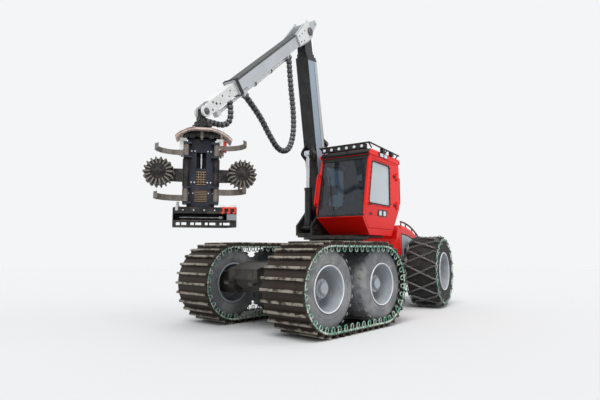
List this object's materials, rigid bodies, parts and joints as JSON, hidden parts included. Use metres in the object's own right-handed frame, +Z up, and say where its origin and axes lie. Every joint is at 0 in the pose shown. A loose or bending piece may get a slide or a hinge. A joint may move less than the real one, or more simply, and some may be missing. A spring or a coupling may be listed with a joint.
{
  "type": "forestry harvester",
  "caption": "Articulated forestry harvester with tracked front bogies, chained rear wheels, a slewing cab and crane, and a felling head.",
  "frame": {"origin": "middle of the overall footprint, on the ground under tracks and rear wheels", "axes": "+X forward along the front frame, +Y to the machine's left, +Z up"},
  "size_m": [8.3975, 3.5565, 6.3663],
  "materials": {
    "red_paint": "gloss",
    "grey_paint": "satin",
    "black_frame": "satin",
    "rim_paint": "satin",
    "boom_grey": "satin",
    "white_paint": "satin",
    "head_paint": "satin",
    "knife_steel": "worn",
    "track_steel": "worn",
    "chrome_rod": "polished",
    "tyre_rubber": "matt",
    "hose_rubber": "matt",
    "window_glass": "clear",
    "black_plastic": "matt",
    "seat_cloth": "woven"
  },
  "bodies": {
    "front": {"front_frame": "black_frame", "turntable_base": "black_frame"},
    "bogie_left": {"bogie_case_left": "black_frame", "front_rims_left": "rim_paint", "front_tyres_left": "tyre_rubber", "track_left": "track_steel"},
    "bogie_right": {"bogie_case_right": "black_frame", "front_rims_right": "rim_paint", "front_tyres_right": "tyre_rubber", "track_right": "track_steel"},
    "rear": {"rear_frame": "black_frame", "engine_block": "black_frame", "engine_bay_panels": "grey_paint", "front_cowl": "grey_paint"},
    "hood": {"hood": "red_paint"},
    "rear_wheel_left": {"rear_tyre_left": "tyre_rubber", "rear_chain_left": "track_steel", "rear_rim_left": "rim_paint"},
    "rear_wheel_right": {"rear_tyre_right": "tyre_rubber", "rear_chain_right": "track_steel", "rear_rim_right": "rim_paint"},
    "upper": {"slew_platform": "black_frame", "crane_base": "boom_grey", "cab_shell": "red_paint", "cab_roof": "red_paint", "cab_glass": "window_glass", "cab_seat": "seat_cloth", "cab_console": "black_plastic", "roof_guard": "black_frame", "cab_handrails": "red_paint"},
    "door": {"cab_door": "red_paint", "door_glass": "window_glass"},
    "boom": {"main_boom": "boom_grey"},
    "lift_barrel": {"lift_barrel": "black_frame"},
    "lift_rod": {"lift_rod": "chrome_rod"},
    "jib": {"jib": "boom_grey", "stroke_barrel": "black_frame", "boom_hose": "hose_rubber"},
    "jib_barrel": {"jib_barrel": "black_frame"},
    "jib_rod": {"jib_rod": "chrome_rod"},
    "extension": {"extension": "white_paint"},
    "tip_link": {"tip_link": "black_frame"},
    "rotator": {"rotator": "black_frame"},
    "tilt": {"tilt_frame": "head_paint"},
    "head": {"head_frame": "head_paint", "saw_box": "head_paint"},
    "saw_bar": {"saw_bar": "knife_steel"},
    "feed_arm_left": {"feed_arm_left": "head_paint"},
    "feed_arm_right": {"feed_arm_right": "head_paint"},
    "feed_roller_left": {"feed_roller_left": "track_steel"},
    "feed_roller_right": {"feed_roller_right": "track_steel"},
    "upper_knife_left": {"upper_knife_left": "knife_steel"},
    "upper_knife_right": {"upper_knife_right": "knife_steel"},
    "lower_knife_left": {"lower_knife_left": "knife_steel"},
    "lower_knife_right": {"lower_knife_right": "knife_steel"}
  },
  "joints": [
    {"name": "articulated_steering", "type": "hinge", "parent": "front", "child": "rear", "pos_m": [-0.74584, 0.2183, 0.9], "axis": [0, 0, 1], "range_deg": [-51, 29]},
    {"name": "bogie_tilt_left", "type": "hinge", "parent": "front", "child": "bogie_left", "pos_m": [1.20416, 1.3483, 0.745], "axis": [0, -1, 0], "range_deg": [-8, 20]},
    {"name": "bogie_tilt_right", "type": "hinge", "parent": "front", "child": "bogie_right", "pos_m": [1.20416, -0.9117, 0.745], "axis": [0, -1, 0], "range_deg": [-8, 20]},
    {"name": "rear_wheel_left_spin", "type": "hinge", "parent": "rear", "child": "rear_wheel_left", "pos_m": [-2.87563, 0.95546, 0.845], "axis": [-0.1908, 0.9816, 0], "continuous": true},
    {"name": "rear_wheel_right_spin", "type": "hinge", "parent": "rear", "child": "rear_wheel_right", "pos_m": [-2.4444, -1.26302, 0.845], "axis": [-0.1908, 0.9816, 0], "continuous": true},
    {"name": "hood_lid", "type": "hinge", "parent": "rear", "child": "hood", "pos_m": [-3.95576, -0.40564, 1.128], "axis": [0.1908, -0.9816, 0], "range_deg": [0, 50]},
    {"name": "slew", "type": "hinge", "parent": "front", "child": "upper", "pos_m": [-0.14584, 0.2183, 1.5], "axis": [0, 0, 1], "range_deg": [-118, 102]},
    {"name": "cab_door", "type": "hinge", "parent": "upper", "child": "door", "pos_m": [-1.39118, 0.97434, 2.47], "axis": [0, 0, 1], "range_deg": [0, 85]},
    {"name": "boom_lift", "type": "hinge", "parent": "upper", "child": "boom", "pos_m": [-0.24738, -0.28069, 2.11], "axis": [-0.1392, 0.9903, 0], "range_deg": [-5, 24]},
    {"name": "lift_barrel_swing", "type": "hinge", "parent": "upper", "child": "lift_barrel", "pos_m": [0.24775, -0.2111, 1.8], "axis": [-0.1392, 0.9903, 0], "range_deg": [-4.77, 20.99]},
    {"name": "lift_rod_stroke", "type": "slide", "parent": "lift_barrel", "child": "lift_rod", "axis": [-0.0033, -0.0005, 1], "range_m": [-0.2293, 0.0494]},
    {"name": "jib_fold", "type": "hinge", "parent": "boom", "child": "jib", "pos_m": [0.4161, -0.18744, 6.01], "axis": [0.1392, -0.9903, 0], "range_deg": [-10, 95]},
    {"name": "jib_barrel_swing", "type": "hinge", "parent": "boom", "child": "jib_barrel", "pos_m": [-0.31933, -0.2908, 3.69519], "axis": [0.1392, -0.9903, 0], "range_deg": [-2.15, 0.67]},
    {"name": "jib_rod_stroke", "type": "slide", "parent": "jib_barrel", "child": "jib_rod", "axis": [0.1951, 0.0274, 0.9804], "range_m": [-0.5284, 0.0574]},
    {"name": "extension_stroke", "type": "slide", "parent": "jib", "child": "extension", "axis": [0.7559, 0.1062, -0.6461], "range_m": [0, 1.9]},
    {"name": "tip_swing", "type": "hinge", "parent": "extension", "child": "tip_link", "pos_m": [3.31758, 0.22034, 3.53], "axis": [0.1392, -0.9903, 0], "range_deg": [-40, 60]},
    {"name": "cross_swing", "type": "hinge", "parent": "tip_link", "child": "rotator", "pos_m": [3.31758, 0.22034, 3.4], "axis": [0.9903, 0.1392, 0], "range_deg": [-30, 30]},
    {"name": "head_rotation", "type": "hinge", "parent": "rotator", "child": "tilt", "pos_m": [3.31758, 0.22034, 3.235], "axis": [0, 0, 1], "range_deg": [-150, 150]},
    {"name": "head_tilt", "type": "hinge", "parent": "tilt", "child": "head", "pos_m": [3.24117, 0.11516, 2.89], "axis": [-0.809, 0.5878, 0], "range_deg": [0, 85]},
    {"name": "saw_swing", "type": "hinge", "parent": "head", "child": "saw_bar", "pos_m": [2.98007, 0.31722, 1.85], "axis": [0, 0, 1], "range_deg": [0, 85]},
    {"name": "feed_arm_left", "type": "hinge", "parent": "head", "child": "feed_arm_left", "pos_m": [3.1304, 0.36251, 2.5], "axis": [0, 0, -1], "range_deg": [0, 35]},
    {"name": "feed_roller_left", "type": "hinge", "parent": "feed_arm_left", "child": "feed_roller_left", "pos_m": [2.93355, 0.74657, 2.5], "axis": [0.5878, 0.809, 0], "continuous": true},
    {"name": "upper_knife_left", "type": "hinge", "parent": "head", "child": "upper_knife_left", "pos_m": [3.16273, 0.40701, 2.89], "axis": [0, 0, -1], "range_deg": [0, 35]},
    {"name": "lower_knife_left", "type": "hinge", "parent": "head", "child": "lower_knife_left", "pos_m": [3.16273, 0.40701, 2.19], "axis": [0, 0, -1], "range_deg": [0, 35]},
    {"name": "feed_arm_right", "type": "hinge", "parent": "head", "child": "feed_arm_right", "pos_m": [3.51064, 0.08625, 2.5], "axis": [0, 0, 1], "range_deg": [0, 35]},
    {"name": "feed_roller_right", "type": "hinge", "parent": "feed_arm_right", "child": "feed_roller_right", "pos_m": [3.93673, 0.01771, 2.5], "axis": [0.5878, 0.809, 0], "continuous": true},
    {"name": "upper_knife_right", "type": "hinge", "parent": "head", "child": "upper_knife_right", "pos_m": [3.54297, 0.13075, 2.89], "axis": [0, 0, 1], "range_deg": [0, 35]},
    {"name": "lower_knife_right", "type": "hinge", "parent": "head", "child": "lower_knife_right", "pos_m": [3.54297, 0.13075, 2.19], "axis": [0, 0, 1], "range_deg": [0, 35]}
  ],
  "couplings": [
    {"joint": "lift_barrel_swing", "follows": "boom_lift", "ratio": 0.85391},
    {"joint": "lift_rod_stroke", "follows": "boom_lift", "m_per_rad": -0.54271},
    {"joint": "jib_barrel_swing", "follows": "jib_fold", "ratio": -0.01735},
    {"joint": "jib_rod_stroke", "follows": "jib_fold", "m_per_rad": -0.3175},
    {"joint": "feed_arm_right", "follows": "feed_arm_left", "ratio": 1},
    {"joint": "upper_knife_right", "follows": "upper_knife_left", "ratio": 1},
    {"joint": "lower_knife_right", "follows": "lower_knife_left", "ratio": 1}
  ]
}
